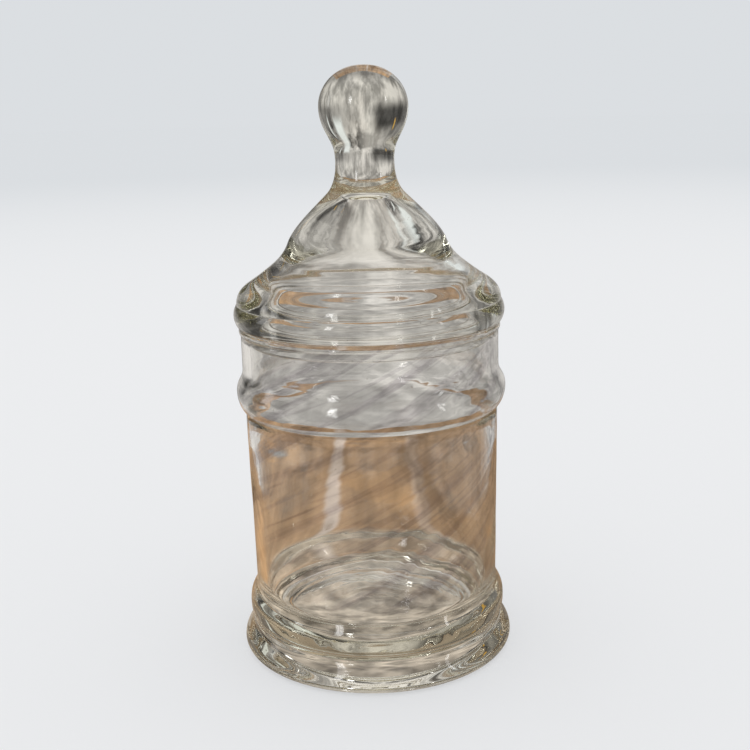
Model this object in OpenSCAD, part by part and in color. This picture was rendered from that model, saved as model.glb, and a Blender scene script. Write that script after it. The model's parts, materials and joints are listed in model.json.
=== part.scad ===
// Covered glass specimen jar: a footed jar with two hollow rings blown into its
// wall, and a domed lid with a solid knob that drops into the mouth.
// Millimetres, +Z up, origin at the middle of the face that the foot stands on.

/* [Jar body] */
// Outside diameter of the jar wall just below the shoulder ring
jar_d = 100.6; // [70:0.1:150]
// How much smaller the wall's outside radius is at its lower end
wall_taper = 1.0; // [0:0.1:2]
// Height of the plain wall between the two rings
wall_h = 69.5; // [40:0.5:160]
// Thickness of the wall between the two rings
wall_t = 3.8; // [3:0.1:6]

/* [Foot and floor] */
// Height of the foot, up to the groove above it
foot_h = 13.5; // [10:0.5:25]
// How far the foot spreads beyond the lower end of the wall
foot_spread = 5.8; // [4:0.1:12]
// Rounding radius of the foot's lower edge
foot_edge = 3; // [1:0.1:4]
// Width of the flat ring that the foot stands on
rest_w = 11; // [6:0.5:20]
// Height of the hollow under the foot
punt_h = 6; // [4:0.1:8]
// Height of the gentle crown in the roof of that hollow
punt_crown = 1; // [0.4:0.1:2]
// Height of the inside floor above the table
floor_z = 15; // [14:0.1:20]
// Radius of the bend between the inside floor and the wall
floor_bend = 9; // [5:0.5:12]

/* [Base ring] */
// Height of the swell that sits on the foot
base_ring_h = 16; // [13:0.5:25]
// Height of the swell's widest place above the groove
base_ring_mid = 5.5; // [4:0.5:8]
// How far the swell stands out beyond the groove
base_ring_proud = 1.4; // [0.5:0.1:4]
// How much wider the groove under the swell is than the wall, as a radius
groove_out = 1.6; // [0.5:0.1:3]

/* [Shoulder ring] */
// Height of the hollow ring blown into the shoulder
shoulder_ring_h = 17; // [14:0.5:25]
// Height of the ring's widest place above its lower crease
shoulder_ring_mid = 8; // [6:0.5:9]
// How far the ring stands out beyond the neck
shoulder_ring_proud = 2.7; // [1:0.1:5]
// Thickness of the glass at the ring's widest place
shoulder_ring_t = 3.4; // [2.5:0.1:4.5]
// Height of the widest place inside the ring above the crease
shoulder_ring_in_mid = 6; // [4:0.5:9]
// Thickness of the glass at the crease under the ring
crease_t = 2.8; // [2:0.1:4]
// Height over which the wall thins to that crease
crease_ease = 14; // [8:0.5:20]

/* [Neck and mouth] */
// How much wider the neck is than the top of the wall, as a radius
neck_out = 0.5; // [0:0.1:3]
// Height of the straight neck band
neck_h = 13.5; // [8:0.5:40]
// Thickness of the neck band
neck_t = 4; // [2.5:0.1:5]
// Height of the fire-polished mouth rim
rim_h = 3.2; // [2:0.1:6]
// How far the mouth rim stands out from the neck
rim_proud = 0.7; // [0.3:0.1:2]
// Radius that eases the two edges of the rim's top
rim_edge = 0.5; // [0.3:0.1:0.8]

/* [Lid seat] */
// Gap kept between the lid's seat and the mouth rim
seat_gap = 0.2; // [0.1:0.05:0.5]
// Gap all round between the lid's collar and the inside of the neck
collar_clear = 0.9; // [0.4:0.1:2]
// Depth of the collar that drops into the mouth
collar_depth = 7.5; // [4:0.5:12]
// Thickness of the collar
collar_t = 3; // [2:0.1:5]

/* [Lid] */
// How far the lid's edge reaches beyond the neck
lid_reach = 2.3; // [1:0.1:6]
// Height of the rounded edge of the lid
lid_edge_h = 8.3; // [5:0.1:10]
// How far the rounded edge bulges
lid_edge_proud = 1.3; // [0.5:0.1:2.5]
// Height of the whole flange, from its seat up to the dome
flange_h = 18.7; // [16:0.1:25]
// Width of the flange, from its edge in to the foot of the dome
flange_w = 10.1; // [7:0.1:14]
// Thickness of the glass where the flange meets the dome, measured level
lid_t = 8; // [5:0.1:9]
// Height of the dome above the flange
dome_h = 31; // [25:0.5:50]
// How far in from the lid's edge the dome's waist lies
dome_in = 22.1; // [17:0.1:25]
// Height of the dome's waist above the flange
dome_waist_h = 12.4; // [9:0.1:18]
// Thickness of the glass at the dome's waist, measured level
waist_t = 10; // [6:0.1:14]
// Radius of the hollow's peak under the stem
peak_r = 7; // [5:0.1:9]
// Height of the rounded top of that peak
peak_h = 1.8; // [1:0.1:3]
// Height of the solid glass between the hollow's peak and the stem
crown_t = 4; // [3:0.1:9]

/* [Knob] */
// Radius where the stem leaves the dome
stem_root_r = 15; // [12:0.1:18]
// Height of the solid stem
stem_h = 14.8; // [8:0.1:30]
// Radius of the stem where the knob sits on it
stem_r = 11.6; // [8:0.1:14]
// Diameter of the knob
knob_d = 34.4; // [28:0.1:50]
// Height of the knob
knob_h = 32.6; // [26:0.1:50]
// Height of the knob's widest place above the stem
knob_belly_h = 17.2; // [12:0.1:24]

/* [Hidden] */
$fn = 96;

// The greenish grey of thick soda glass, and the clearer glass of the lid
JAR_GLASS = [0.70, 0.78, 0.76, 0.55];
LID_GLASS = [0.76, 0.82, 0.81, 0.55];

// Outside radii of the jar, from the mouth down
wall_top_r = jar_d / 2;
wall_low_r = wall_top_r - wall_taper;
neck_r = wall_top_r + neck_out;
shoulder_ring_r = neck_r + shoulder_ring_proud;
groove_r = wall_low_r + groove_out;
base_ring_r = groove_r + base_ring_proud;
foot_r = wall_low_r + foot_spread;
rest_out_r = foot_r - foot_edge;
rest_in_r = rest_out_r - rest_w;

// Inside radii of the jar
bore_r = neck_r - neck_t;
hollow_top_r = wall_top_r - wall_t;
hollow_low_r = wall_low_r - wall_t;
crease_in_r = wall_top_r - crease_t;
floor_r = hollow_low_r - floor_bend;

// Radii of the lid, which follow the neck
collar_r = bore_r - collar_clear;
lid_r = neck_r + lid_reach;
lid_side_r = lid_r - lid_edge_proud;
lid_bore_r = collar_r - collar_t;
flange_top_r = lid_r - flange_w;
waist_r = lid_r - dome_in;
knob_r = knob_d / 2;

// Heights of the joins, stacked from the table up
z_groove = foot_h;
z_wall = z_groove + base_ring_h;
z_shoulder = z_wall + wall_h;
z_neck = z_shoulder + shoulder_ring_h;
z_rim = z_neck + neck_h;
z_mouth = z_rim + rim_h;
z_seat = z_mouth + seat_gap;
z_collar = z_seat - collar_depth;
z_lid_side = z_seat + lid_edge_h;
z_flange = z_seat + flange_h;
z_waist = z_flange + dome_waist_h;
z_stem = z_flange + dome_h;
z_crown = z_stem - crown_t;
z_peak = z_crown - peak_h;
z_knob = z_stem + stem_h;
z_belly = z_knob + knob_belly_h;
z_top = z_knob + knob_h;

// Headings of the glass at its joins: 0 points out, 90 up and 180 in
UP = 90;
IN = 180;
CREASE = 40;
CREASE_IN = 68;
FLANGE_LEAN = 143;
WAIST_LEAN = 111;
HOLLOW_LEAN = 139;
PEAK_LEAN = 118;
STEM_LEAN = 134;
KNOB_FLARE = 84;

// ---------- outlines, each a list of [radius, height] ----------

// The unit vector along a heading
function along(deg) = [cos(deg), sin(deg)];

// A smooth curve that leaves p along one heading and reaches q along another
function curve(p, p_head, p_pull, q, q_head, q_pull, n = 10) =
    let (a = p + p_pull * along(p_head), b = q - q_pull * along(q_head))
    [for (i = [0 : n])
        let (t = i / n, s = 1 - t)
        s * s * s * p + 3 * s * s * t * a + 3 * s * t * t * b + t * t * t * q];

// A round arc from p up to q that bulges outwards from its chord
function bulge(p, q, proud, n = 10) =
    let (
        chord = norm(q - p),
        up = (q - p) / chord,
        out = [up[1], -up[0]],
        r = (chord * chord / 4 + proud * proud) / (2 * proud),
        centre = (p + q) / 2 + (proud - r) * out,
        half = asin(chord / 2 / r)
    )
    [for (i = [0 : n])
        let (a = half * (2 * i / n - 1))
        centre + r * (cos(a) * out + sin(a) * up)];

// A swell that leaves the crease p outwards and eases back to upright at q
function swell(p, widest, q) =
    let (low = widest[1] - p[1], high = q[1] - widest[1])
    concat(
        curve(p, CREASE, low * 0.3, widest, UP, low * 0.5, 8),
        curve(widest, UP, high * 0.45, q, UP, high * 0.5, 10)
    );

// A quarter-round of radius r about a centre, from one heading to another
function rounding(centre, r, from, to, n = 5) =
    [for (i = [0 : n]) centre + r * along(from + (to - from) * i / n)];

function reversed(points) = [for (i = [len(points) - 1 : -1 : 0]) points[i]];

// A ring of glass between an outside and an inside outline, both drawn upwards
module turned(outside, inside) {
    rotate_extrude()
        polygon(concat(outside, reversed(inside)));
}

// ---------- jar ----------

// Pressed foot with a rounded edge, hollow underneath
module foot() {
    outside = concat(
        rounding([rest_out_r, foot_edge], foot_edge, -90, 0),
        curve([foot_r, foot_edge], UP, foot_h / 3, [groove_r, z_groove], UP, foot_h / 3)
    );
    inside = concat(
        curve([rest_in_r, 0], UP, punt_h / 2, [floor_r, punt_h], UP, punt_h / 3),
        [[floor_r, z_groove]]
    );
    color(JAR_GLASS) turned(outside, inside);
}

// Floor of the jar, with a gentle crown in the roof of the hollow below it
module jar_floor() {
    crown_sphere_r = (floor_r * floor_r + punt_crown * punt_crown) / (2 * punt_crown);
    color(JAR_GLASS)
        difference() {
            translate([0, 0, punt_h])
                cylinder(r = floor_r, h = floor_z - punt_h);
            translate([0, 0, punt_h + punt_crown])
                rotate_extrude()
                    polygon(concat(
                        [[0, -2 * punt_crown]],
                        [[floor_r, -2 * punt_crown]],
                        [for (i = [0 : 8])
                            let (r = floor_r * (1 - i / 8))
                            [r, sqrt(crown_sphere_r * crown_sphere_r - r * r) - crown_sphere_r]]
                    ));
        }
}

// Swell above the foot, with the bend from the floor to the wall inside it
module base_ring() {
    widest = [base_ring_r, z_groove + base_ring_mid];
    outside = swell([groove_r, z_groove], widest, [wall_low_r, z_wall]);
    inside = concat(
        [[floor_r, z_groove]],
        curve([floor_r, floor_z], 0, floor_bend * 0.6, [hollow_low_r, z_wall], UP, floor_bend * 0.7)
    );
    color(JAR_GLASS) turned(outside, inside);
}

// Plain tapering wall between the two rings, which thins to the upper crease
module jar_wall() {
    outside = [[wall_low_r, z_wall], [wall_top_r, z_shoulder]];
    inside = concat(
        [[hollow_low_r, z_wall]],
        curve(
            [hollow_top_r, z_shoulder - crease_ease], UP, crease_ease / 2,
            [crease_in_r, z_shoulder], CREASE_IN, crease_ease / 3, 8
        )
    );
    color(JAR_GLASS) turned(outside, inside);
}

// Blown ring at the shoulder
module shoulder_ring() {
    widest = [shoulder_ring_r, z_shoulder + shoulder_ring_mid];
    outside = swell([wall_top_r, z_shoulder], widest, [neck_r, z_neck]);
    widest_in = [shoulder_ring_r - shoulder_ring_t, z_shoulder + shoulder_ring_in_mid];
    high = z_neck - widest_in[1];
    inside = concat(
        curve([crease_in_r, z_shoulder], CREASE_IN, 2, widest_in, UP, shoulder_ring_in_mid / 2, 8),
        curve(widest_in, UP, high * 0.45, [bore_r, z_neck], UP, high * 0.5, 10)
    );
    color(JAR_GLASS) turned(outside, inside);
}

// Straight band that the lid's collar drops into
module neck_band() {
    color(JAR_GLASS)
        translate([0, 0, z_neck])
            difference() {
                cylinder(r = neck_r, h = neck_h);
                translate([0, 0, -1])
                    cylinder(r = bore_r, h = neck_h + 2);
            }
}

// Mouth rim, with eased edges, that the lid rests on
module mouth_rim() {
    lip = [neck_r - rim_edge, z_mouth - rim_edge];
    bore_lip = [bore_r + rim_edge, z_mouth - rim_edge];
    outside = concat(
        bulge([neck_r, z_rim], [neck_r, z_mouth - rim_edge], rim_proud, 6),
        rounding(lip, rim_edge, 18, 90, 4)
    );
    inside = concat([[bore_r, z_rim]], rounding(bore_lip, rim_edge, 180, 90));
    color(JAR_GLASS) turned(outside, inside);
}

// ---------- lid ----------

// Collar under the lid that keeps it on the mouth
module lid_collar() {
    edge = collar_t / 2;
    foot_arc = rounding([collar_r - edge, z_collar + edge], edge, 180, 360, 10);
    color(LID_GLASS)
        rotate_extrude()
            polygon(concat(foot_arc, [[collar_r, z_seat], [lid_bore_r, z_seat]]));
}

// Broad flange with a rounded edge that sweeps up into the dome
module lid_flange() {
    outside = concat(
        bulge([lid_side_r, z_seat], [lid_side_r, z_lid_side], lid_edge_proud, 8),
        curve(
            [lid_side_r, z_lid_side], UP, 6, [flange_top_r, z_flange], FLANGE_LEAN, 4.4
        )
    );
    inside = concat(
        [[lid_bore_r, z_seat]],
        curve(
            [lid_bore_r, z_seat + 1], UP, 12, [flange_top_r - lid_t, z_flange], FLANGE_LEAN, 4
        )
    );
    color(LID_GLASS) turned(outside, inside);
}

// Bell-shaped dome that thickens towards the stem, with a narrow peak to its hollow
module lid_dome() {
    outside = concat(
        curve([flange_top_r, z_flange], FLANGE_LEAN, 6.6, [waist_r, z_waist], WAIST_LEAN, 6),
        curve([waist_r, z_waist], WAIST_LEAN, 7, [stem_root_r, z_stem], STEM_LEAN, 7)
    );
    inside = concat(
        curve(
            [flange_top_r - lid_t, z_flange], FLANGE_LEAN, 6,
            [waist_r - waist_t, z_waist], HOLLOW_LEAN, 5
        ),
        curve([waist_r - waist_t, z_waist], HOLLOW_LEAN, 6, [peak_r, z_peak], PEAK_LEAN, 4),
        curve([peak_r, z_peak], PEAK_LEAN, peak_h / 2, [0, z_crown], IN, peak_r / 2, 6)
    );
    color(LID_GLASS) turned(concat(outside, [[0, z_stem]]), inside);
}

// Solid stem that narrows up to the knob
module lid_stem() {
    side = curve([stem_root_r, z_stem], STEM_LEAN, 3.4, [stem_r, z_knob], KNOB_FLARE, 7.4);
    color(LID_GLASS) turned(side, [[0, z_stem], [0, z_knob]]);
}

// Solid rounded knob
module lid_knob() {
    side = concat(
        curve([stem_r, z_knob], KNOB_FLARE, 5.6, [knob_r, z_belly], UP, 8.1),
        curve([knob_r, z_belly], UP, 7.6, [0, z_top], IN, 11)
    );
    color(LID_GLASS) turned(side, [[0, z_knob]]);
}

foot();
jar_floor();
base_ring();
jar_wall();
shoulder_ring();
neck_band();
mouth_rim();
lid_collar();
lid_flange();
lid_dome();
lid_stem();
lid_knob();
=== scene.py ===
"""Covered glass specimen jar: a footed jar with two blown rings, and a domed lid with a solid knob.

Each of the two pieces of glass is one closed shell, turned about the Z axis from an outline that follows
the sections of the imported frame. Metres throughout, +Z up, the foot standing on z = 0.
"""
import json
import logging
import math
from dataclasses import dataclass
from enum import Enum
from typing import Any

import bpy
from mathutils import Matrix, Vector


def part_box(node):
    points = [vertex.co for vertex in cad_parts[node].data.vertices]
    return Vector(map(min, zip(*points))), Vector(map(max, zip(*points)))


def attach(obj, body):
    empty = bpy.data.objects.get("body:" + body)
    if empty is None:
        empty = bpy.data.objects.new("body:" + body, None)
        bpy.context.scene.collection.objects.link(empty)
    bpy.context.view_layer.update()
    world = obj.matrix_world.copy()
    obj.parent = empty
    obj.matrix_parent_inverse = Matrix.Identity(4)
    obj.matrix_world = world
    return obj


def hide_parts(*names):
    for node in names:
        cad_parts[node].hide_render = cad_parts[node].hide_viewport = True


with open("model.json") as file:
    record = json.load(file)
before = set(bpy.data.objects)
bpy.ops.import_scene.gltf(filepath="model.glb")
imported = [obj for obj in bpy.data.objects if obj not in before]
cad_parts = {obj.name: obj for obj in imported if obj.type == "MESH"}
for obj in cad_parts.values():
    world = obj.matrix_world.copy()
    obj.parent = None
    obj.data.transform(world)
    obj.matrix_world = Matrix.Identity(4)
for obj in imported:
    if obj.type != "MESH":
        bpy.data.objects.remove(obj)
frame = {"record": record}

LOG = logging.getLogger("specimen_jar")
MM = 0.001

Point = tuple[float, float]
Colour = tuple[float, float, float]
Triple = tuple[float, float, float]
Socket = bpy.types.NodeSocket

# Noise read at a place times this is drawn out upwards.
LONG_UPWARDS: Triple = (1.0, 1.0, 0.3)
# Half the width of the floor, and how far below the foot it lies.
FLOOR_HALF = 60.0
FLOOR_GAP = 0.3 * MM


# ---------- outlines ----------


class Heading(Enum):
    """Direction of the glass at a join, in degrees: 0 points out from the axis and 90 straight up."""

    OUT = 0.0
    CREASE = 40.0
    CREASE_IN = 68.0
    KNOB_FLARE = 84.0
    UP = 90.0
    WAIST_LEAN = 111.0
    PEAK_LEAN = 118.0
    STEM_LEAN = 134.0
    HOLLOW_LEAN = 139.0
    FLANGE_LEAN = 143.0
    IN = 180.0

    @property
    def vector(self) -> Vector:
        """Unit vector in the (radius, height) plane."""
        angle = math.radians(self.value)
        return Vector((math.cos(angle), math.sin(angle)))


def curve(start: Point, leave: Heading, pull: float, end: Point, arrive: Heading, push: float,
          count: int = 32) -> list[Point]:
    """Draw a smooth curve between two points of an outline.

    Args:
        start: First point, as (radius, height).
        leave: Heading at the first point.
        pull: How far the curve is pulled along that heading.
        end: Last point.
        arrive: Heading at the last point.
        push: How far the curve is pulled back from the last point.
        count: Number of steps.

    Returns:
        The points of the curve, both ends included.
    """
    p, q = Vector(start), Vector(end)
    a, b = p + pull * leave.vector, q - push * arrive.vector
    points = []
    for i in range(count + 1):
        t = i / count
        s = 1.0 - t
        v = s ** 3 * p + 3 * s * s * t * a + 3 * s * t * t * b + t ** 3 * q
        points.append((v.x, v.y))
    return points


def swell(crease: Point, widest: Point, top: Point) -> list[Point]:
    """Draw a blown ring that leaves a crease outwards and eases back to upright.

    Args:
        crease: Lower end of the ring.
        widest: Widest place of the ring.
        top: Upper end of the ring, where the glass is upright again.

    Returns:
        The points of the ring, upwards.
    """
    low, high = widest[1] - crease[1], top[1] - widest[1]
    return (
        curve(crease, Heading.CREASE, 0.3 * low, widest, Heading.UP, 0.5 * low)
        + curve(widest, Heading.UP, 0.45 * high, top, Heading.UP, 0.5 * high)
    )


def bulge(low: Point, high: Point, proud: float, count: int = 20) -> list[Point]:
    """Draw a round arc that bulges outwards from its chord.

    Args:
        low: Lower end.
        high: Upper end.
        proud: Height of the bulge over the chord.
        count: Number of steps.

    Returns:
        The points of the arc, upwards.
    """
    p, q = Vector(low), Vector(high)
    chord = (q - p).length
    up = (q - p) / chord
    out = Vector((up.y, -up.x))
    radius = (chord * chord / 4 + proud * proud) / (2 * proud)
    centre = (p + q) / 2 + (proud - radius) * out
    half = math.asin(chord / 2 / radius)
    points = []
    for i in range(count + 1):
        angle = half * (2 * i / count - 1)
        v = centre + radius * (math.cos(angle) * out + math.sin(angle) * up)
        points.append((v.x, v.y))
    return points


def rounding(centre: Point, radius: float, start: float, stop: float, count: int = 6) -> list[Point]:
    """Draw part of a circle.

    Args:
        centre: Centre of the circle.
        radius: Its radius.
        start: First direction, in degrees.
        stop: Last direction, in degrees.
        count: Number of steps.

    Returns:
        The points of the arc.
    """
    angles = [math.radians(start + (stop - start) * i / count) for i in range(count + 1)]
    return [(centre[0] + radius * math.cos(a), centre[1] + radius * math.sin(a)) for a in angles]


def paced(points: list[Point], step: float, bend: float) -> list[Point]:
    """Space an outline so that straight glass gets long faces and tight bends get short ones.

    Args:
        points: The outline, drawn finely.
        step: Longest distance between points.
        bend: Most that the outline turns from one point to the next, in degrees.

    Returns:
        The same outline with both ends kept.
    """
    apart = [Vector(b) - Vector(a) for a, b in zip(points, points[1:])]
    sides = [(i, side) for i, side in enumerate(apart) if side.length > 1e-8]
    reach, kept = [0.0], [points[0]]
    for (_, before), (i, side), (_, after) in zip([sides[0]] + sides, sides, sides[1:] + [sides[-1]]):
        turn = (math.degrees(before.angle(side)) + math.degrees(side.angle(after))) / 2
        reach.append(reach[-1] + max(side.length / step, min(turn, 60.0) / bend))
        kept.append(points[i + 1])
    count = max(2, math.ceil(reach[-1]))
    spaced, i = [], 0
    for k in range(count + 1):
        want = reach[-1] * k / count
        while i < len(kept) - 2 and reach[i + 1] < want:
            i += 1
        t = min(1.0, (want - reach[i]) / (reach[i + 1] - reach[i]))
        (r0, z0), (r1, z1) = kept[i], kept[i + 1]
        spaced.append((r0 + (r1 - r0) * t, z0 + (z1 - z0) * t))
    return spaced


# ---------- node trees ----------


@dataclass(frozen=True)
class Ramp:
    """A level that changes over a span.

    Attributes:
        start: Where the change begins.
        stop: Where it ends.
        first: Level at the start.
        last: Level at the end.
        eased: Whether the change starts and ends softly.
    """

    start: Any
    stop: Any
    first: Any = 0.0
    last: Any = 1.0
    eased: bool = False


def rgba(colour: Colour) -> tuple[float, float, float, float]:
    """Give a colour the full alpha that a node's socket wants."""
    return (*colour, 1.0)


class Tree:
    """Thin helper that adds and joins nodes in any node tree."""

    def __init__(self, tree: bpy.types.NodeTree) -> None:
        """Wrap a node tree."""
        self.tree = tree

    def add(self, kind: str, values: dict[Any, Any] | None = None, **settings: Any) -> bpy.types.Node:
        """Add a node.

        Args:
            kind: The node's type name.
            values: Input name or index to a plain value or an output socket to join it to.
            **settings: Properties set on the node before its inputs are filled.

        Returns:
            The new node.
        """
        node = self.tree.nodes.new(kind)
        for name, value in settings.items():
            setattr(node, name, value)
        for key, value in (values or {}).items():
            if isinstance(value, bpy.types.NodeSocket):
                self.tree.links.new(value, node.inputs[key])
            else:
                node.inputs[key].default_value = value
        return node

    def math(self, operation: str, *operands: Any) -> Socket:
        """Add a math node on the given operands and return its result."""
        kind = "ShaderNodeMath"
        return self.add(kind, dict(enumerate(operands)), operation=operation).outputs[0]

    def vector(self, operation: str, *operands: Any) -> Socket:
        """Add a vector math node on the given operands and return its vector."""
        kind = "ShaderNodeVectorMath"
        return self.add(kind, dict(enumerate(operands)), operation=operation).outputs[0]

    def scaled(self, vector: Socket, factor: Any) -> Socket:
        """Scale a vector by a number and return it."""
        return self.add("ShaderNodeVectorMath", {0: vector, "Scale": factor}, operation="SCALE").outputs[0]

    def length(self, vector: Socket) -> Socket:
        """Measure a vector and return its length."""
        return self.add("ShaderNodeVectorMath", {0: vector}, operation="LENGTH").outputs["Value"]

    def split(self, vector: Socket) -> Any:
        """Split a vector and return its X, Y and Z outputs."""
        return self.add("ShaderNodeSeparateXYZ", {0: vector}).outputs

    def wound(self, vector: Socket, angle: Socket) -> Socket:
        """Turn a place about Z by an angle and return it."""
        values = {"Vector": vector, "Angle": angle}
        return self.add("ShaderNodeVectorRotate", values, rotation_type="Z_AXIS").outputs[0]

    def noise(self, vector: Socket, scale: Any, detail: float, roughness: float = 0.5, **more: Any) -> Socket:
        """Add a noise node.

        Args:
            vector: Place that the noise is read at.
            scale: Its scale.
            detail: How many finer layers it has.
            roughness: How strong the finer layers are.
            **more: Values of its other inputs.

        Returns:
            The noise's value.
        """
        values = {"Vector": vector, "Scale": scale, "Detail": detail, "Roughness": roughness}
        kind = "4D" if "W" in more else "3D"
        return self.add("ShaderNodeTexNoise", values | more, noise_dimensions=kind).outputs[0]

    def ramp(self, value: Socket, ramp: Ramp) -> Socket:
        """Add a map range node for a ramp and return its result."""
        values = {
            "Value": value, "From Min": ramp.start, "From Max": ramp.stop,
            "To Min": ramp.first, "To Max": ramp.last,
        }
        kind = "SMOOTHSTEP" if ramp.eased else "LINEAR"
        return self.add("ShaderNodeMapRange", values, interpolation_type=kind).outputs[0]

    def mix(self, factor: Any, first: Any, second: Any) -> Socket:
        """Mix two numbers and return the result."""
        return self.add("ShaderNodeMix", {0: factor, 2: first, 3: second}).outputs[0]

    def blend(self, factor: Any, first: Any, second: Any) -> Socket:
        """Mix two colours and return the result."""
        return self.add("ShaderNodeMix", {0: factor, 6: first, 7: second}, data_type="RGBA").outputs[2]

    def either(self, factor: Any, first: Socket, second: Socket) -> Socket:
        """Mix two shaders and return the result."""
        return self.add("ShaderNodeMixShader", {0: factor, 1: first, 2: second}).outputs[0]


@dataclass(frozen=True)
class TurnedGlass:
    """A closed shell of glass turned about Z by Geometry Nodes, with seeds trapped in it.

    Attributes:
        name: Name of the finished piece.
        outline: Points from the axis below, round the glass and back to the axis above or inside.
        segments: Number of faces round the axis.
        wave: Deepest that the hand-worked surface dips below the true one.
        wave_size: Size of the slow waves in the surface.
        still: Height up to which the surface is still, and height from which it waves fully.
        lean: How fast the waves wind round the axis with height, in radians per metre.
        seeds: Seeds per square metre of surface.
        seed_r: Radius of the largest seed.
        random_seed: Fixed seed for the waves and the seeds.
        seeds_from: Height that the seeds start at, clear of the resting face.
        seed_depth: Least and most that a seed lies under the surface.
        seed_least: Smallest seed, as a share of the largest one's three sizes.
        seed_most: Longest seed, as the same share.
    """

    name: str
    outline: list[Point]
    segments: int
    wave: float
    wave_size: float
    still: tuple[float, float]
    lean: float
    seeds: float
    seed_r: float
    random_seed: int
    seeds_from: float = 8 * MM
    seed_depth: tuple[float, float] = (0.6 * MM, 1.3 * MM)
    seed_least: Triple = (0.3, 0.3, 0.3)
    seed_most: Triple = (0.6, 1.0, 0.6)

    def build(self, material: bpy.types.Material) -> bpy.types.Object:
        """Turn the outline into a plain mesh object.

        Args:
            material: Material of the glass.

        Returns:
            The finished piece, at the origin, with no modifier left on it.
        """
        profile = self._profile()
        holder = bpy.data.objects.new(self.name + ".turning", bpy.data.meshes.new(self.name + ".turning"))
        bpy.context.scene.collection.objects.link(holder)
        modifier = holder.modifiers.new("turn", "NODES")
        inputs = self._inputs(profile, material)
        tree, sockets = self._tree({name: kind for name, (kind, _) in inputs.items()})
        modifier.node_group = tree
        for name, (_, value) in inputs.items():
            modifier[sockets[name]] = value
        holder.update_tag()
        graph = bpy.context.evaluated_depsgraph_get()
        mesh = bpy.data.meshes.new_from_object(holder.evaluated_get(graph))
        mesh.name = self.name
        piece = bpy.data.objects.new(self.name, mesh)
        bpy.context.scene.collection.objects.link(piece)
        holder.modifiers.remove(modifier)
        for spare in (holder, profile):
            data = spare.data
            bpy.data.objects.remove(spare)
            bpy.data.meshes.remove(data)
        LOG.info("%s: %d points, %d faces", self.name, len(mesh.vertices), len(mesh.polygons))
        return piece

    def _profile(self) -> bpy.types.Object:
        """Make the outline an object whose vertices the tree samples."""
        mesh = bpy.data.meshes.new(self.name + ".profile")
        mesh.from_pydata([(r, 0.0, z) for r, z in self.outline], [], [])
        profile = bpy.data.objects.new(self.name + ".profile", mesh)
        bpy.context.scene.collection.objects.link(profile)
        return profile

    def _inputs(self, profile: bpy.types.Object, material: bpy.types.Material) -> dict[str, tuple[str, Any]]:
        """List the tree's inputs.

        Args:
            profile: The outline as an object.
            material: Material of the glass.

        Returns:
            The kind and the value of each input, by its name.
        """
        return {
            "Profile": ("Object", profile), "Points": ("Int", len(self.outline)),
            "Segments": ("Int", self.segments), "Wave": ("Float", self.wave),
            "Wave size": ("Float", self.wave_size), "Still": ("Float", self.still[0]),
            "Waving": ("Float", self.still[1]), "Lean": ("Float", self.lean),
            "Seeds": ("Float", self.seeds), "Seed radius": ("Float", self.seed_r),
            "Seeds from": ("Float", self.seeds_from), "Seed depth least": ("Float", self.seed_depth[0]),
            "Seed depth most": ("Float", self.seed_depth[1]), "Random seed": ("Int", self.random_seed),
            "Material": ("Material", material),
        }

    def _tree(self, inputs: dict[str, str]) -> tuple[bpy.types.NodeTree, dict[str, str]]:
        """Build the Geometry Nodes tree.

        Args:
            inputs: The kind of each input, by its name.

        Returns:
            The tree, and the identifier of each input by its name.
        """
        group = bpy.data.node_groups.new(self.name + ".turn", "GeometryNodeTree")
        sockets = {}
        for name, kind in inputs.items():
            item = group.interface.new_socket(name, in_out="INPUT", socket_type="NodeSocket" + kind)
            sockets[name] = item.identifier
        group.interface.new_socket("Glass", in_out="OUTPUT", socket_type="NodeSocketGeometry")
        t = Tree(group)
        given = t.add("NodeGroupInput").outputs
        shell = self._turned_shell(t, given)
        waved = self._waved(t, given, shell)
        bubbles = self._bubbles(t, given, waved)
        both = t.add("GeometryNodeJoinGeometry")
        group.links.new(waved, both.inputs[0])
        group.links.new(bubbles, both.inputs[0])
        real = t.add("GeometryNodeRealizeInstances", {0: both.outputs[0]})
        smooth = t.add("GeometryNodeSetShadeSmooth", {0: real.outputs[0]})
        dressing = {"Geometry": smooth.outputs[0], "Material": given["Material"]}
        t.add("NodeGroupOutput", {0: t.add("GeometryNodeSetMaterial", dressing).outputs[0]})
        return group, sockets

    @staticmethod
    def _turned_shell(t: Tree, given: Any) -> Socket:
        """Turn the outline about Z and weld its seam and poles."""
        columns = t.math("ADD", given["Segments"], 1.0)
        grid = t.add("GeometryNodeMeshGrid", {"Vertices X": columns, "Vertices Y": given["Points"]})
        index = t.add("GeometryNodeInputIndex").outputs[0]
        along = t.math("MODULO", index, given["Points"])
        column = t.math("FLOOR", t.math("DIVIDE", t.math("ADD", index, 0.5), given["Points"]))
        outline = t.add("GeometryNodeObjectInfo", {"Object": given["Profile"]}).outputs["Geometry"]
        sample = t.add(
            "GeometryNodeSampleIndex",
            {"Geometry": outline, "Value": t.add("GeometryNodeInputPosition").outputs[0], "Index": along},
            data_type="FLOAT_VECTOR",
        )
        turn = t.math("MULTIPLY", t.math("DIVIDE", column, given["Segments"]), math.tau)
        place = {"Geometry": grid.outputs["Mesh"], "Position": t.wound(sample.outputs[0], turn)}
        shell = t.add("GeometryNodeSetPosition", place)
        weld = {"Geometry": shell.outputs[0], "Distance": 0.002 * MM}
        return t.add("GeometryNodeMergeByDistance", weld).outputs[0]

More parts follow.
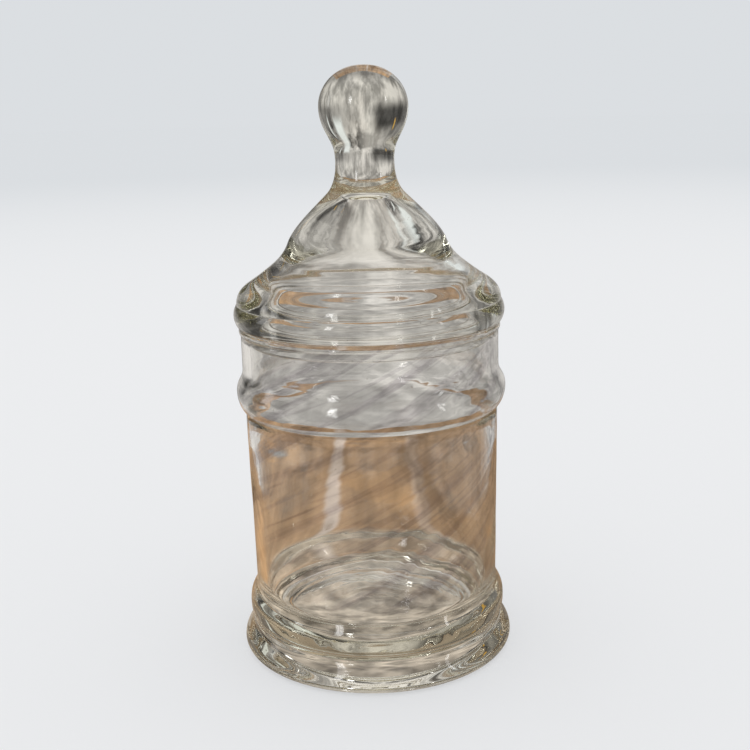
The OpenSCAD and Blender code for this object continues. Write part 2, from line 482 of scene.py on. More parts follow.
    @staticmethod
    def _waved(t: Tree, given: Any, shell: Socket) -> Socket:
        """Dip the surface in slow leaning waves, and leave the resting face flat."""
        position = t.add("GeometryNodeInputPosition").outputs[0]
        height = t.split(position)["Z"]
        wound = t.wound(position, t.math("MULTIPLY", height, given["Lean"]))
        noise = t.noise(
            t.vector("MULTIPLY", wound, LONG_UPWARDS), t.math("DIVIDE", 1.0, given["Wave size"]), 1.0, 0.35,
            W=given["Random seed"],
        )
        clear = t.ramp(height, Ramp(given["Still"], given["Waving"], eased=True))
        depth = t.math("MULTIPLY", t.math("MULTIPLY", noise, given["Wave"]), clear)
        normal = t.add("GeometryNodeInputNormal").outputs[0]
        dip = {"Geometry": shell, "Offset": t.scaled(normal, t.math("MULTIPLY", depth, -1.0))}
        return t.add("GeometryNodeSetPosition", dip).outputs[0]

    def _bubbles(self, t: Tree, given: Any, shell: Socket) -> Socket:
        """Trap small seeds of air under the surface, with their faces turned to the air inside them."""
        height = t.split(t.add("GeometryNodeInputPosition").outputs[0])["Z"]
        lifted = t.math("GREATER_THAN", height, given["Seeds from"])
        points = t.add(
            "GeometryNodeDistributePointsOnFaces",
            {"Mesh": shell, "Selection": lifted, "Density": given["Seeds"], "Seed": given["Random seed"]},
        )
        between = {"Min": given["Seed depth least"], "Max": given["Seed depth most"], "Seed": 3}
        depth = t.add("FunctionNodeRandomValue", between, data_type="FLOAT").outputs[1]
        sunk = t.scaled(points.outputs["Normal"], t.math("MULTIPLY", depth, -1.0))
        inside = t.add("GeometryNodeSetPosition", {"Geometry": points.outputs["Points"], "Offset": sunk})
        ball = t.add("GeometryNodeMeshIcoSphere", {"Radius": given["Seed radius"], "Subdivisions": 2})
        air = t.add("GeometryNodeFlipFaces", {0: ball.outputs[0]})
        sizes = {"Min": self.seed_least, "Max": self.seed_most, "Seed": 5}
        placed = t.add(
            "GeometryNodeInstanceOnPoints",
            {
                "Points": inside.outputs[0], "Instance": air.outputs[0],
                "Rotation": points.outputs["Rotation"],
                "Scale": t.add("FunctionNodeRandomValue", sizes, data_type="FLOAT_VECTOR").outputs[0],
            },
        )
        return placed.outputs[0]


# ---------- finishes ----------


def new_material(name: str) -> tuple[bpy.types.Material, Tree]:
    """Make a material with an empty node tree.

    Args:
        name: Name of the material.

    Returns:
        The material and its tree.
    """
    material = bpy.data.materials.new(name)
    material.use_nodes = True
    material.node_tree.nodes.clear()
    return material, Tree(material.node_tree)


@dataclass(frozen=True)
class GlassFinish:
    """Hand-made soda glass: clear, faintly olive in the thick, with leaning striae and turned rings.

    Attributes:
        name: Name of the material.
        surface: Colour that each surface lets through.
        stria: Colour that the darkest striae let through.
        body: Colour of the glass in the thick.
        density: How strongly the thick glass colours the light, per metre.
        ior: Index of refraction.
        roughness: Roughness of the fire-polished surface.
        stria_size: Width of the striae that lean across the wall.
        stria_depth: Height of those striae as a bump.
        ring_size: Width of the rings that turning and pressing leave.
        ring_depth: Height of those rings as a bump.
        ring_zone: Heights between which the rings fade out, and the striae take over.
        lean: How fast the striae wind round the axis with height, in radians per metre.
        back_clear: How the striae fade from the front of the piece to its back.
        rim_calm: How the rings fade from the floor out to the foot's edge.
        finer: How much finer the dark striae are than the raised ones.
        streak: Levels of the fine striae between which they darken.
        ring_drift: How much the rings stray from true circles, front to back and side to side.
    """

    name: str
    surface: Colour
    stria: Colour
    body: Colour
    density: float
    ior: float
    roughness: float
    stria_size: float
    stria_depth: float
    ring_size: float
    ring_depth: float
    ring_zone: tuple[float, float]
    lean: float
    back_clear: Ramp = Ramp(-25 * MM, 15 * MM, 1.0, 0.15, eased=True)
    rim_calm: Ramp = Ramp(34 * MM, 42 * MM, 1.0, 0.25)
    finer: float = 1.3
    streak: Ramp = Ramp(0.48, 0.64, eased=True)
    ring_drift: tuple[float, float] = (0.08, 0.06)

    def material(self) -> bpy.types.Material:
        """Build the node material."""
        material, t = new_material(self.name)
        place = t.add("ShaderNodeTexCoord").outputs["Object"]
        split = t.split(place)
        fade_low, fade_high = self.ring_zone
        rings_here = t.ramp(split["Z"], Ramp(fade_high, fade_low, eased=True))
        front = t.ramp(split["Y"], self.back_clear)
        striae_here = t.math("MULTIPLY", t.math("SUBTRACT", 1.0, rings_here), front)
        striae, streaks = self._striae(t, place, split["Z"])
        flat = t.add("ShaderNodeCombineXYZ", {"X": split["X"], "Y": split["Y"]}).outputs[0]
        away = t.length(flat)
        rings = self._rings(t, split, away)
        calmed = t.math("MULTIPLY", rings_here, t.ramp(away, self.rim_calm))
        first = {"Strength": striae_here, "Distance": self.stria_depth, "Height": striae}
        leaning = t.add("ShaderNodeBump", first).outputs[0]
        second = {"Strength": calmed, "Distance": self.ring_depth, "Height": rings, "Normal": leaning}
        relief = t.add("ShaderNodeBump", second).outputs[0]
        darkness = t.math("MULTIPLY", streaks, striae_here)
        shader = t.add(
            "ShaderNodeBsdfPrincipled",
            {
                "Base Color": t.blend(darkness, rgba(self.surface), rgba(self.stria)),
                "Roughness": self.roughness, "IOR": self.ior, "Transmission Weight": 1.0, "Normal": relief,
            },
        )
        thick = t.add("ShaderNodeVolumeAbsorption", {"Color": rgba(self.body), "Density": self.density})
        t.add("ShaderNodeOutputMaterial", {"Surface": shader.outputs[0], "Volume": thick.outputs[0]})
        return material

    def _striae(
        self, t: Tree, place: Socket, height: Socket
    ) -> tuple[Socket, Socket]:
        """Draw the cords in the glass that wind up the wall.

        Args:
            t: The material's node tree.
            place: Place on the piece.
            height: Height on the piece.

        Returns:
            The height of the striae, and how dark each stria is.
        """
        wound = t.wound(place, t.math("MULTIPLY", height, self.lean))
        long = t.vector("MULTIPLY", wound, LONG_UPWARDS)
        broad = t.noise(long, 1.0 / self.stria_size, 1.0, 0.4, Distortion=0.2)
        fine = t.noise(long, self.finer / self.stria_size, 2.0, Distortion=0.6)
        return broad, t.ramp(fine, self.streak)

    def _rings(self, t: Tree, split: Any, away: Socket) -> Socket:
        """Draw the long rings that run round the foot, the floor and the lid.

        Args:
            t: The material's node tree.
            split: The three coordinates of the place on the piece.
            away: Distance of that place from the axis.

        Returns:
            The height of the rings.
        """
        deep, wide = self.ring_drift
        radius = t.math("MULTIPLY_ADD", split["Y"], deep, away)
        along = {"X": radius, "Y": split["Z"], "Z": t.math("MULTIPLY", split["X"], wide)}
        return t.noise(t.add("ShaderNodeCombineXYZ", along).outputs[0], 1.0 / self.ring_size, 1.0, 0.4)


class Finish(Enum):
    """The finishes of the jar."""

    JAR_GLASS = GlassFinish(
        name="jar_glass", surface=(0.985, 0.985, 0.975), stria=(0.70, 0.68, 0.70), body=(0.82, 0.80, 0.70),
        density=15.0, ior=1.5, roughness=0.0, stria_size=11 * MM, stria_depth=0.09 * MM, ring_size=4.5 * MM,
        ring_depth=0.14 * MM, ring_zone=(26 * MM, 36 * MM), lean=-38.0,
    )
    LID_GLASS = GlassFinish(
        name="lid_glass", surface=(0.985, 0.985, 0.98), stria=(0.90, 0.88, 0.87), body=(0.83, 0.82, 0.69),
        density=16.0, ior=1.5, roughness=0.0, stria_size=12 * MM, stria_depth=0.03 * MM, ring_size=3.6 * MM,
        ring_depth=0.08 * MM, ring_zone=(168 * MM, 184 * MM), lean=-8.0,
    )


# ---------- the two pieces of glass ----------


def low(node: str) -> float:
    """Height of the underside of a node."""
    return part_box(node)[0][2]


def high(node: str) -> float:
    """Height of the top of a node."""
    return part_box(node)[1][2]


def reach(node: str) -> float:
    """Largest radius of a node."""
    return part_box(node)[1][0]


@dataclass(frozen=True)
class Jar:
    """The footed jar, one piece of glass.

    Attributes:
        wall_t: Thickness of the wall.
        crease_t: Thickness of the glass at the crease under the shoulder ring.
        crease_ease: Height over which the wall thins to that crease.
        wall_taper: How much smaller the wall's radius is at its lower end.
        neck_t: Thickness of the neck.
        foot_edge: Rounding radius of the foot's lower edge.
        rest_w: Width of the flat ring that the foot stands on.
        punt_h: Height of the hollow under the foot at its side.
        punt_crown: Height of the crown in that hollow's roof.
        groove_out: How much wider the groove over the foot is than the wall.
        base_ring_mid: Height of the base ring's widest place over the groove.
        shoulder_ring_mid: Height of the shoulder ring's widest place over its crease.
        shoulder_ring_t: Thickness of the glass at the shoulder ring's widest place.
        shoulder_ring_in_mid: Height of the widest place inside that ring over its crease.
        rim_edge: Radius that eases the edges of the mouth.
        rim_proud: How far the mouth rim stands out from the neck.
        step: Longest face along the outline.
        bend: Most that the outline turns between two faces, in degrees.
    """

    wall_t: float = 3.8 * MM
    crease_t: float = 2.8 * MM
    crease_ease: float = 14.0 * MM
    wall_taper: float = 1.0 * MM
    neck_t: float = 4.0 * MM
    foot_edge: float = 3.0 * MM
    rest_w: float = 11.0 * MM
    punt_h: float = 6.0 * MM
    punt_crown: float = 1.0 * MM
    groove_out: float = 1.6 * MM
    base_ring_mid: float = 5.5 * MM
    shoulder_ring_mid: float = 8.0 * MM
    shoulder_ring_t: float = 3.4 * MM
    shoulder_ring_in_mid: float = 6.0 * MM
    rim_edge: float = 0.5 * MM
    rim_proud: float = 0.7 * MM
    step: float = 2.6 * MM
    bend: float = 4.6

    @property
    def nodes(self) -> list[str]:
        """The frame's nodes that this piece stands for."""
        return list(frame["record"]["behaviour"]["bodies"]["jar"])

    def outline(self) -> list[Point]:
        """Draw the glass from the hollow under the foot, up the outside, over the mouth and down inside."""
        wall_top, neck = reach("jar_wall"), reach("neck_band")
        wall_low = wall_top - self.wall_taper
        foot, floor = reach("foot"), reach("jar_floor")
        groove = wall_low + self.groove_out
        bore, hollow_top, hollow_low = neck - self.neck_t, wall_top - self.wall_t, wall_low - self.wall_t
        rest_out = foot - self.foot_edge
        rest_in = rest_out - self.rest_w
        z_groove, z_wall, z_shoulder = high("foot"), low("jar_wall"), high("jar_wall")
        z_neck, z_rim = low("neck_band"), low("mouth_rim")
        z_mouth, z_floor = high("mouth_rim"), high("jar_floor")
        crown_r = (floor ** 2 + self.punt_crown ** 2) / (2 * self.punt_crown)
        roof = [
            (r, self.punt_h + self.punt_crown + math.sqrt(crown_r ** 2 - r ** 2) - crown_r)
            for r in (floor * i / 8 for i in range(9))
        ]
        underside = curve(
            (rest_in, 0.0), Heading.UP, self.punt_h / 2, (floor, self.punt_h), Heading.UP, self.punt_h / 3
        )
        outside = (
            rounding((rest_out, self.foot_edge), self.foot_edge, -90, 0)
            + curve(
                (foot, self.foot_edge), Heading.UP, z_groove / 3, (groove, z_groove), Heading.UP, z_groove / 3
            )
            + swell(
                (groove, z_groove), (reach("base_ring"), z_groove + self.base_ring_mid), (wall_low, z_wall)
            )
            + swell(
                (wall_top, z_shoulder), (reach("shoulder_ring"), z_shoulder + self.shoulder_ring_mid),
                (neck, z_neck),
            )
            + bulge((neck, z_rim), (neck, z_mouth - self.rim_edge), self.rim_proud, 6)
            + rounding((neck - self.rim_edge, z_mouth - self.rim_edge), self.rim_edge, 18, 90)
        )
        crease = (wall_top - self.crease_t, z_shoulder)
        widest = (reach("shoulder_ring") - self.shoulder_ring_t, z_shoulder + self.shoulder_ring_in_mid)
        high_part = z_neck - widest[1]
        inside = (
            [(floor, z_floor)]
            + curve(
                (floor, z_floor), Heading.OUT, 0.6 * (hollow_low - floor), (hollow_low, z_wall), Heading.UP,
                0.7 * (hollow_low - floor),
            )
            + curve(
                (hollow_top, z_shoulder - self.crease_ease), Heading.UP, self.crease_ease / 2,
                crease, Heading.CREASE_IN, self.crease_ease / 3,
            )
            + curve(crease, Heading.CREASE_IN, 2 * MM, widest, Heading.UP, self.shoulder_ring_in_mid / 2)
            + curve(widest, Heading.UP, 0.45 * high_part, (bore, z_neck), Heading.UP, 0.5 * high_part)
            + rounding((bore + self.rim_edge, z_mouth - self.rim_edge), self.rim_edge, 180, 90)
        )
        return paced(roof + underside[::-1] + outside + inside[::-1] + [(0.0, z_floor)], self.step, self.bend)

    def build(self) -> bpy.types.Object:
        """Turn the jar, dress it, and put it in the place of the frame's nodes."""
        finish = Finish.JAR_GLASS.value
        piece = TurnedGlass(
            name="jar_glass", outline=self.outline(), segments=256, wave=0.35 * MM, wave_size=26 * MM,
            still=(0.0, 36 * MM), lean=finish.lean, seeds=1800.0, seed_r=0.35 * MM, random_seed=7,
        ).build(finish.material())
        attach(piece, "jar")
        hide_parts(*self.nodes)
        return piece


@dataclass(frozen=True)
class Lid:
    """The domed lid, one piece of glass with a solid stem and knob.

    Attributes:
        collar_t: Thickness of the collar.
        edge_h: Height of the rounded edge.
        edge_proud: How far the rounded edge bulges.
        flange_w: Width of the flange.
        glass_t: Thickness of the glass where the flange meets the dome, measured level.
        bore_up: How far the straight bore goes on above the seat.
        waist_h: Height of the dome's waist over the flange.
        waist_t: Thickness of the glass at the waist, measured level.
        dome_in: How far in from the lid's edge the waist lies.
        peak_r: Radius of the hollow's peak under the stem.
        peak_h: Height of the rounded top of that peak.
        crown_t: Thickness of the solid glass between the peak and the stem.
        stem_r: Radius of the stem where the knob sits on it.
        belly_h: Height of the knob's widest place over the stem.
        step: Longest face along the outline.
        bend: Most that the outline turns between two faces, in degrees.
    """

    collar_t: float = 3.0 * MM
    edge_h: float = 8.3 * MM
    edge_proud: float = 1.3 * MM
    flange_w: float = 10.1 * MM
    glass_t: float = 8.0 * MM
    bore_up: float = 1.0 * MM
    waist_h: float = 12.4 * MM
    waist_t: float = 10.0 * MM
    dome_in: float = 22.1 * MM
    peak_r: float = 7.0 * MM
    peak_h: float = 1.8 * MM
    crown_t: float = 4.0 * MM
    stem_r: float = 11.6 * MM
    belly_h: float = 17.2 * MM
    step: float = 1.7 * MM
    bend: float = 3.0

    @property
    def nodes(self) -> list[str]:
        """The frame's nodes that this piece stands for."""
        return list(frame["record"]["behaviour"]["bodies"]["lid"])

    def outline(self) -> list[Point]:
        """Draw the glass from the top of the hollow down inside, round the collar and up to the knob."""
        lid, collar, root, knob = (
            reach(node) for node in ("lid_flange", "lid_collar", "lid_stem", "lid_knob")
        )
        side, flange_top, waist = lid - self.edge_proud, lid - self.flange_w, lid - self.dome_in
        bore, edge = collar - self.collar_t, self.collar_t / 2
        z_collar, z_seat, z_flange = low("lid_collar"), low("lid_flange"), high("lid_flange")
        z_stem, z_knob, z_top = low("lid_stem"), low("lid_knob"), high("lid_knob")
        z_waist, z_crown, z_belly = z_flange + self.waist_h, z_stem - self.crown_t, z_knob + self.belly_h
        inside = (
            [(bore, z_seat)]
            + curve(
                (bore, z_seat + self.bore_up), Heading.UP, 12 * MM,
                (flange_top - self.glass_t, z_flange), Heading.FLANGE_LEAN, 4 * MM,
            )
            + curve(
                (flange_top - self.glass_t, z_flange), Heading.FLANGE_LEAN, 6 * MM,
                (waist - self.waist_t, z_waist), Heading.HOLLOW_LEAN, 5 * MM,
            )
            + curve(
                (waist - self.waist_t, z_waist), Heading.HOLLOW_LEAN, 6 * MM,
                (self.peak_r, z_crown - self.peak_h), Heading.PEAK_LEAN, 4 * MM,
            )
            + curve(
                (self.peak_r, z_crown - self.peak_h), Heading.PEAK_LEAN, self.peak_h / 2,
                (0.0, z_crown), Heading.IN, self.peak_r / 2,
            )
        )
        foot = rounding((collar - edge, z_collar + edge), edge, 180, 360, 12)
        outside = (
            [(collar, z_seat)]
            + bulge((side, z_seat), (side, z_seat + self.edge_h), self.edge_proud)
            + curve(
                (side, z_seat + self.edge_h), Heading.UP, 6 * MM, (flange_top, z_flange),
                Heading.FLANGE_LEAN, 4.4 * MM,
            )
            + curve(
                (flange_top, z_flange), Heading.FLANGE_LEAN, 6.6 * MM,
                (waist, z_waist), Heading.WAIST_LEAN, 6 * MM,
            )
            + curve((waist, z_waist), Heading.WAIST_LEAN, 7 * MM, (root, z_stem), Heading.STEM_LEAN, 7 * MM)
            + curve(
                (root, z_stem), Heading.STEM_LEAN, 3.4 * MM,
                (self.stem_r, z_knob), Heading.KNOB_FLARE, 7.4 * MM,
            )
            + curve(
                (self.stem_r, z_knob), Heading.KNOB_FLARE, 5.6 * MM, (knob, z_belly), Heading.UP, 8.1 * MM
            )
            + curve((knob, z_belly), Heading.UP, 7.6 * MM, (0.0, z_top), Heading.IN, 11 * MM)
        )
        return paced(inside[::-1] + foot + outside, self.step, self.bend)

    def build(self) -> bpy.types.Object:
        """Turn the lid, dress it, and put it in the place of the frame's nodes."""
        finish = Finish.LID_GLASS.value
        piece = TurnedGlass(
            name="lid_glass", outline=self.outline(), segments=256, wave=0.25 * MM, wave_size=24 * MM,
            still=(126 * MM, 136 * MM), lean=finish.lean, seeds=1500.0, seed_r=0.30 * MM, random_seed=11,
        ).build(finish.material())
        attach(piece, "lid")
        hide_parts(*self.nodes)
        return piece


# ---------- studio ----------


def rectangle(name: str, wide: float, tall: float) -> bpy.types.Object:
    """Make a flat rectangle round the origin.

    Args:
        name: Name of the object.
        wide: Half its width.
        tall: Half its height.

    Returns:
        The object, linked to the scene.
    """
    mesh = bpy.data.meshes.new(name)
    corners = [(-wide, -tall, 0), (wide, -tall, 0), (wide, tall, 0), (-wide, tall, 0)]
    mesh.from_pydata(corners, [], [(0, 1, 2, 3)])
    flat = bpy.data.objects.new(name, mesh)
    bpy.context.scene.collection.objects.link(flat)
    return flat


@dataclass(frozen=True)
class SoftBox:
    """A soft panel of light that shows only in the glass.

    Attributes:
        name: Name of the panel.
        bearing: Direction from the jar in degrees, counted from the camera's side round to the left.
        height: Height of the panel's middle.
        away: Distance from the jar.
        size: Width and height.
        strength: Brightness.
        colour: Colour of the light.
        soft: How the light fades to the panel's edge, as a share of its half width and half height.
        aim: Height on the jar's axis that the panel faces.
    """

    name: str
    bearing: float
    height: float
    away: float
    size: tuple[float, float]
    strength: float
    colour: Colour = (1.0, 1.0, 1.0)
    soft: Ramp = Ramp(1.0, 0.35, eased=True)
    aim: float = 0.12

    def build(self) -> bpy.types.Object:
        """Hang the panel so that it faces the jar."""
        angle = math.radians(-90.0 - self.bearing)
        place = Vector((self.away * math.cos(angle), self.away * math.sin(angle), self.height))
        wide, tall = self.size[0] / 2, self.size[1] / 2
        panel = rectangle(self.name, wide, tall)
        aim = (Vector((0.0, 0.0, self.aim)) - place).to_track_quat("Z", "Y")
        panel.matrix_world = Matrix.Translation(place) @ aim.to_matrix().to_4x4()
        panel.data.materials.append(self._material(wide, tall))
        panel.visible_camera = False
        panel.visible_diffuse = False
        panel.visible_shadow = False
        return panel

    def _material(self, wide: float, tall: float) -> bpy.types.Material:
        """Light the panel, and let it fade out to its edge.

        Args:
            wide: Half its width.
            tall: Half its height.

        Returns:
            The panel's material.
        """
        material, t = new_material(self.name)
        place = t.add("ShaderNodeTexCoord").outputs["Object"]
        out = t.split(t.vector("DIVIDE", t.vector("ABSOLUTE", place), (wide, tall, 1.0)))
        inner = t.ramp(t.math("MAXIMUM", out["X"], out["Y"]), self.soft)
        glow = t.add("ShaderNodeEmission", {"Color": rgba(self.colour), "Strength": self.strength})
        clear = t.add("ShaderNodeBsdfTransparent")
        t.add("ShaderNodeOutputMaterial", {"Surface": t.either(inner, clear.outputs[0], glow.outputs[0])})
        return material


@dataclass(frozen=True)
class Table:
    """The warm, grained table that only the glass sees: it glows, with a window's light, glare and falloff
    painted into that glow, and fades into the room.

    Attributes:
        wood: Warm colour of the wood.
        warm: Colour of its warmer patches.
        glare: Colour of the window's glare on it.
        under: Paler colour close to the jar.
        wide: Where the table ends sideways.
        deep: Where it ends to the front and back.
        soft: Width of its soft edge.
        corner: How much further forwards it reaches for each metre out to its sides.
        glares: Middle, half width and strength of each band of glare.
        grain_scale: Scale of the grain.
        grain_stretch: How the grain is squeezed along each axis.
        grain_share: Share of the grain in the wood's shade, and the patches have the rest.
        patch_scale: Scale of the patches.
        shade: How grain and patches change the light.
        warmth: How the patches turn warm.
        daylight: How the light falls off from left to right.
        close: How the paler colour begins towards the jar.
        front: How the light falls off in front of the jar's axis.
        mottle_scale: Scale of the mottle on the wood close to the jar.
        mottle: How that mottle changes the light.
    """

    wood: Colour = (0.37, 0.245, 0.15)
    warm: Colour = (0.43, 0.26, 0.13)
    glare: Colour = (0.66, 0.60, 0.56)
    under: Colour = (0.46, 0.40, 0.33)
    wide: float = 0.19
    deep: float = 0.275
    soft: float = 0.015
    corner: float = 0.2
    glares: tuple[Triple, ...] = ((-0.027, 0.007, 0.6), (0.030, 0.007, 0.25))
    grain_scale: float = 45.0
    grain_stretch: Triple = (1.0, 0.10, 1.0)
    grain_share: float = 0.6
    patch_scale: float = 9.0
    shade: Ramp = Ramp(0.36, 0.64, 0.45, 1.55)
    warmth: Ramp = Ramp(0.52, 0.66)
    daylight: Ramp = Ramp(-0.06, 0.06, 1.15, 0.85)
    close: Ramp = Ramp(0.10, 0.05)
    front: Ramp = Ramp(-0.015, -0.035, 1.0, 0.55, eased=True)
    mottle_scale: float = 95.0
    mottle: Ramp = Ramp(0.38, 0.62, 0.6, 1.45)

    def shader(self, t: Tree, place: Socket, away: Socket) -> Socket:
        """Shade the table, and leave it clear beyond its edge.

        Args:
            t: The floor's node tree.
            place: Place on the floor.
            away: Distance from the jar.

        Returns:
            The shader.
        """
        split = t.split(place)
        grain = t.noise(t.vector("MULTIPLY", place, self.grain_stretch), self.grain_scale, 3.0, 0.6)
        patches = t.noise(place, self.patch_scale, 4.0)
        grained = t.math("MULTIPLY", grain, self.grain_share)
        patched = t.math("MULTIPLY", patches, 1.0 - self.grain_share)
        shade = t.ramp(t.math("ADD", grained, patched), self.shade)
        close = t.ramp(away, self.close)
        colour = self._colour(t, split["X"], patches, shade, close)
        mottled = t.ramp(t.noise(place, self.mottle_scale, 2.0), self.mottle)
        falling = t.math("MULTIPLY", shade, t.ramp(split["X"], self.daylight))
        front = t.math("MULTIPLY", t.ramp(split["Y"], self.front), t.mix(close, 1.0, mottled))
        # Painted light: the wood glows, with the window's glare painted into its colour and the light's
        # falloff painted into its strength.
        wood = t.add("ShaderNodeEmission", {"Color": colour, "Strength": t.math("MULTIPLY", falling, front)})
        room = t.add("ShaderNodeBsdfTransparent")
        return t.either(self._beyond(t, split), wood.outputs[0], room.outputs[0])

    def _beyond(self, t: Tree, split: Any) -> Socket:
        """Find how far past the table's edge a place is.

        Args:
            t: The floor's node tree.
            split: The three coordinates of the place.

        Returns:
            0 on the table and 1 beyond its soft edge.
        """
        sideways, forwards = t.math("ABSOLUTE", split["X"]), t.math("ABSOLUTE", split["Y"])
        cut = t.math("MULTIPLY_ADD", sideways, -self.corner, forwards)
        return t.math("MAXIMUM", *(
            t.ramp(value, Ramp(end, end + self.soft, eased=True))
            for value, end in ((sideways, self.wide), (cut, self.deep))
        ))

    def _colour(self, t: Tree, across: Socket, patches: Socket, shade: Socket, close: Socket) -> Socket:
        """Lay the warm patches, the window's glare and the paler middle over the wood.

        Args:
            t: The floor's node tree.
            across: Place from left to right.
            patches: Where the patches are.
            shade: Shade of the wood, which breaks up the glare.
            close: How close to the jar the place is.

        Returns:
            The colour.
        """
        bands = [
            t.ramp(
                t.math("ABSOLUTE", t.math("SUBTRACT", across, middle)),
                Ramp(half, 0.3 * half, last=strength, eased=True),
            )
            for middle, half, strength in self.glares
        ]
        glare = t.math("MULTIPLY", t.math("MAXIMUM", *bands), t.math("MINIMUM", shade, 1.0))
        colour: Any = rgba(self.wood)
        layers = ((t.ramp(patches, self.warmth), self.warm), (glare, self.glare), (close, self.under))
        for factor, other in layers:
            colour = t.blend(factor, colour, rgba(other))
        return colour


@dataclass(frozen=True)
class Room:
    """The grey room that only the glass sees, by direction: patchy walls, a dim floor and a light ceiling.

    Attributes:
        colour: Colour of the room.
        shift: Offset that picks which light and dark patches the room has.
        patch_scale: Scale of the patches.
        patches: Levels of the patches between which the walls go from darkest to lightest.
        lightest: Light of the lightest patches.
        high_dark: Light of the darkest patches high up, from left to right.
        darkest: How high up the darkest patches change to that, and their light low down.
        dark_side: How the left of the walls is darkened.
        dim_side: How the right of the walls is dimmed.
        strip_middle: Height of the strip of wall where both apply.
        strip: How they fade above and below it.
        edge_middle: Middle of the part of the room that is left light.
        edges: How the light falls off to both sides of it.
        at_side: Light at the sides, from low to high.
        below: How the light falls off downwards.
        ceiling: How the ceiling begins.
        ceiling_light: Light of the ceiling.
    """

    colour: Colour = (0.68, 0.655, 0.625)
    shift: Triple = (5.7, 1.1, 0.0)
    patch_scale: float = 5.0
    patches: tuple[float, float] = (0.38, 0.62)
    lightest: float = 1.25
    high_dark: Ramp = Ramp(-0.05, 0.12, 0.6, 0.10)
    darkest: Ramp = Ramp(0.0, 0.35, 0.45)
    dark_side: Ramp = Ramp(-0.26, -0.06, 0.15, 1.0, eased=True)
    dim_side: Ramp = Ramp(0.06, 0.22, 1.0, 0.7, eased=True)
    strip_middle: float = 0.18
    strip: Ramp = Ramp(0.28, 0.08, eased=True)
    edge_middle: float = 0.06
    edges: tuple[float, float] = (0.14, 0.60)
    at_side: Ramp = Ramp(-0.15, 0.05, 0.9, 0.35)
    below: Ramp = Ramp(-0.55, -0.40, 0.45, 1.0)
    ceiling: Ramp = Ramp(0.70, 0.95, eased=True)
    ceiling_light: float = 1.5

    def shader(self, t: Tree, toward: Socket) -> Socket:
        """Shade the room.

        Args:
            t: The world's node tree.
            toward: Direction that is seen.

        Returns:
            The shader.
        """
        across, up = t.split(toward)["X"], t.split(toward)["Z"]
        tall = t.vector("MULTIPLY_ADD", toward, LONG_UPWARDS, self.shift)
        sides = t.math("MULTIPLY", t.ramp(across, self.dark_side), t.ramp(across, self.dim_side))
        over = t.ramp(t.math("ABSOLUTE", t.math("ADD", up, -self.strip_middle)), self.strip)
        strips = t.mix(over, 1.0, sides)
        out = t.math("ABSOLUTE", t.math("ADD", across, -self.edge_middle))
        edges = t.ramp(out, Ramp(*self.edges, first=1.0, last=t.ramp(up, self.at_side)))
        walls = self._walls(t, t.noise(tall, self.patch_scale, 4.0, 0.62), across, up)
        low_light = t.math("MULTIPLY", edges, t.ramp(up, self.below))
        dimmed = t.math("MULTIPLY", t.math("MULTIPLY", walls, strips), low_light)
        light = t.mix(t.ramp(up, self.ceiling), dimmed, self.ceiling_light)
        return t.add("ShaderNodeBackground", {"Color": rgba(self.colour), "Strength": light}).outputs[0]

    def _walls(self, t: Tree, patches: Socket, across: Socket, up: Socket) -> Socket:
        """Light the walls in patches that go darker high up on the right.

        Args:
            t: The world's node tree.
            patches: Level of the patches.
            across: Direction from left to right.
            up: Direction upwards.

        Returns:
            The light of the walls.
        """
        low_end = self.darkest
        dark = t.ramp(up, Ramp(low_end.start, low_end.stop, low_end.first, t.ramp(across, self.high_dark)))
        return t.ramp(patches, Ramp(*self.patches, first=dark, last=self.lightest, eased=True))


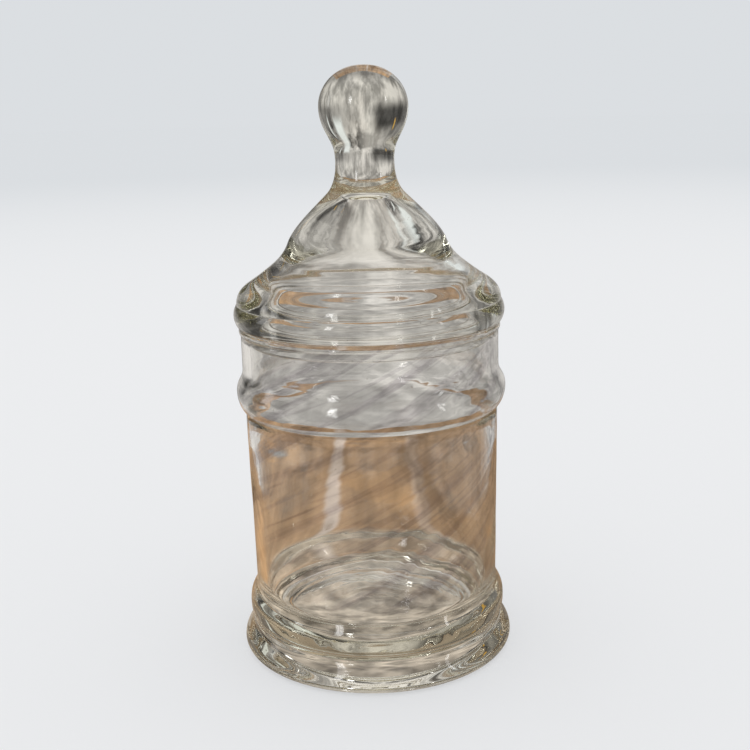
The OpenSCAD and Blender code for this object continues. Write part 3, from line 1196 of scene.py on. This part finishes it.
@dataclass(frozen=True)
class Studio:
    """Pale floor, soft light and the camera.

    Attributes:
        pale: Colour of the backdrop, and of the floor far off.
        near: Colour of the floor round the jar, painted brighter than the backdrop as a pool of light.
        melt: How the floor melts into the backdrop with distance, which fades that painted pool of light.
        evenness: Share of the floor's light that no shadow falls on.
        bounces: Most bounces of light through the glass.
        camera_away: Distance of the camera in front of the jar.
        camera_up: Height of the camera.
        pitch: How far the camera looks down, in degrees.
        turn: How far it looks to the right, in degrees.
        roll: How far it is rolled, in degrees.
        lens: Focal length, in millimetres.
        film: Width of the film, in millimetres.
        table: The table that the glass sees.
        room: The room that the glass sees.
        panels: Soft panels of light, seen only in the glass.
    """

    pale: Colour = (0.71, 0.735, 0.76)
    near: Colour = (0.84, 0.85, 0.865)
    melt: Ramp = Ramp(0.5, 4.5, eased=True)
    evenness: float = 0.6
    bounces: int = 48
    camera_away: float = 0.4285
    camera_up: float = 0.210
    pitch: float = 13.1
    turn: float = 0.22
    roll: float = -1.6
    lens: float = 52.9
    film: float = 36.0
    table: Table = Table()
    room: Room = Room()
    panels: tuple[SoftBox, ...] = (
        SoftBox("window_left", 34.0, 0.75, 1.6, (0.26, 0.8), 9.0),
        SoftBox("window_side", 100.0, 0.55, 1.6, (0.4, 0.9), 2.0),
        SoftBox("window_right", -62.0, 0.65, 1.6, (0.12, 0.6), 6.0),
        SoftBox("window_back", -154.0, 1.10, 1.8, (0.52, 1.50), 0.95, (0.95, 1.0, 1.0)),
        SoftBox("window_slit", -137.0, 1.00, 1.8, (0.12, 1.30), 0.90, (0.95, 1.0, 1.0)),
        SoftBox("lamp_back", 146.0, 0.80, 1.8, (0.10, 0.5), 0.8, (0.80, 0.48, 0.10)),
    )

    def build(self) -> None:
        """Set the whole studio up."""
        self._camera()
        self._floor()
        self._world()
        for panel in self.panels:
            panel.build()
        scene = bpy.context.scene
        scene.view_settings.view_transform = "Standard"
        scene.cycles.max_bounces = self.bounces
        scene.cycles.transmission_bounces = self.bounces
        scene.cycles.glossy_bounces = self.bounces

    def _camera(self) -> None:
        """Place the camera."""
        data = bpy.data.cameras.new("camera")
        data.sensor_width = self.film
        data.lens = self.lens
        camera = bpy.data.objects.new("camera", data)
        bpy.context.scene.collection.objects.link(camera)
        pitch, turn = math.radians(self.pitch), math.radians(self.turn)
        ahead = Vector((math.cos(pitch) * math.sin(turn), math.cos(pitch) * math.cos(turn), -math.sin(pitch)))
        right = Vector((math.cos(turn), -math.sin(turn), 0.0))
        up = right.cross(ahead)
        facing = Matrix((right, up, -ahead)).transposed().to_4x4()
        place = Matrix.Translation((0.0, -self.camera_away, self.camera_up))
        camera.matrix_world = place @ facing @ Matrix.Rotation(math.radians(self.roll), 4, "Z")
        bpy.context.scene.camera = camera

    def _floor(self) -> None:
        """Lay the pale floor, which the glass sees as a warm table near it."""
        floor = rectangle("floor", FLOOR_HALF, FLOOR_HALF)
        floor.location.z = -FLOOR_GAP
        material, t = new_material("floor")
        place = t.add("ShaderNodeNewGeometry").outputs["Position"]
        away = t.length(place)
        path = t.add("ShaderNodeLightPath").outputs
        through = t.math("MAXIMUM", path["Is Transmission Ray"], path["Is Glossy Ray"])
        both = t.either(through, self._pale_floor(t, away), self.table.shader(t, place, away))
        t.add("ShaderNodeOutputMaterial", {"Surface": both})
        floor.data.materials.append(material)

    def _pale_floor(self, t: Tree, away: Socket) -> Socket:
        """Shade the floor so that it melts into the backdrop far off, with a painted pool of light round the
        jar.

        Args:
            t: The floor's node tree.
            away: Distance from the jar.

        Returns:
            The shader.
        """
        # Painted light: the floor's colour is brighter round the jar and fades to the backdrop's colour with
        # distance.
        colour = t.blend(t.ramp(away, self.melt), rgba(self.near), rgba(self.pale))
        lit = t.add("ShaderNodeBsdfDiffuse", {"Color": colour})
        even = t.add("ShaderNodeEmission", {"Color": colour, "Strength": 1.0})
        return t.either(self.evenness, lit.outputs[0], even.outputs[0])

    def _world(self) -> None:
        """Give the camera a plain backdrop, the floor an even light, and the glass a darker room."""
        world = bpy.data.worlds.new("studio")
        bpy.context.scene.world = world
        world.use_nodes = True
        world.node_tree.nodes.clear()
        t = Tree(world.node_tree)
        path = t.add("ShaderNodeLightPath").outputs
        plain = t.add("ShaderNodeBackground", {"Color": rgba(self.pale), "Strength": 1.0})
        light = t.add("ShaderNodeBackground", {"Color": rgba((1.0, 1.0, 1.0)), "Strength": 1.0})
        room = self.room.shader(t, t.add("ShaderNodeTexCoord").outputs["Generated"])
        unseen = t.either(path["Is Diffuse Ray"], room, light.outputs[0])
        both = t.either(path["Is Camera Ray"], unseen, plain.outputs[0])
        t.add("ShaderNodeOutputWorld", {"Surface": both})


def main() -> None:
    """Build the studio, the jar and the lid, in that order."""
    logging.basicConfig(level=logging.INFO, format="%(name)s: %(message)s")
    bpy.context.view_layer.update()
    Studio().build()
    for part in (Jar(), Lid()):
        piece = part.build()
        LOG.info("%s stands for %s", piece.name, ", ".join(part.nodes))


if __name__ == "__main__":
    main()
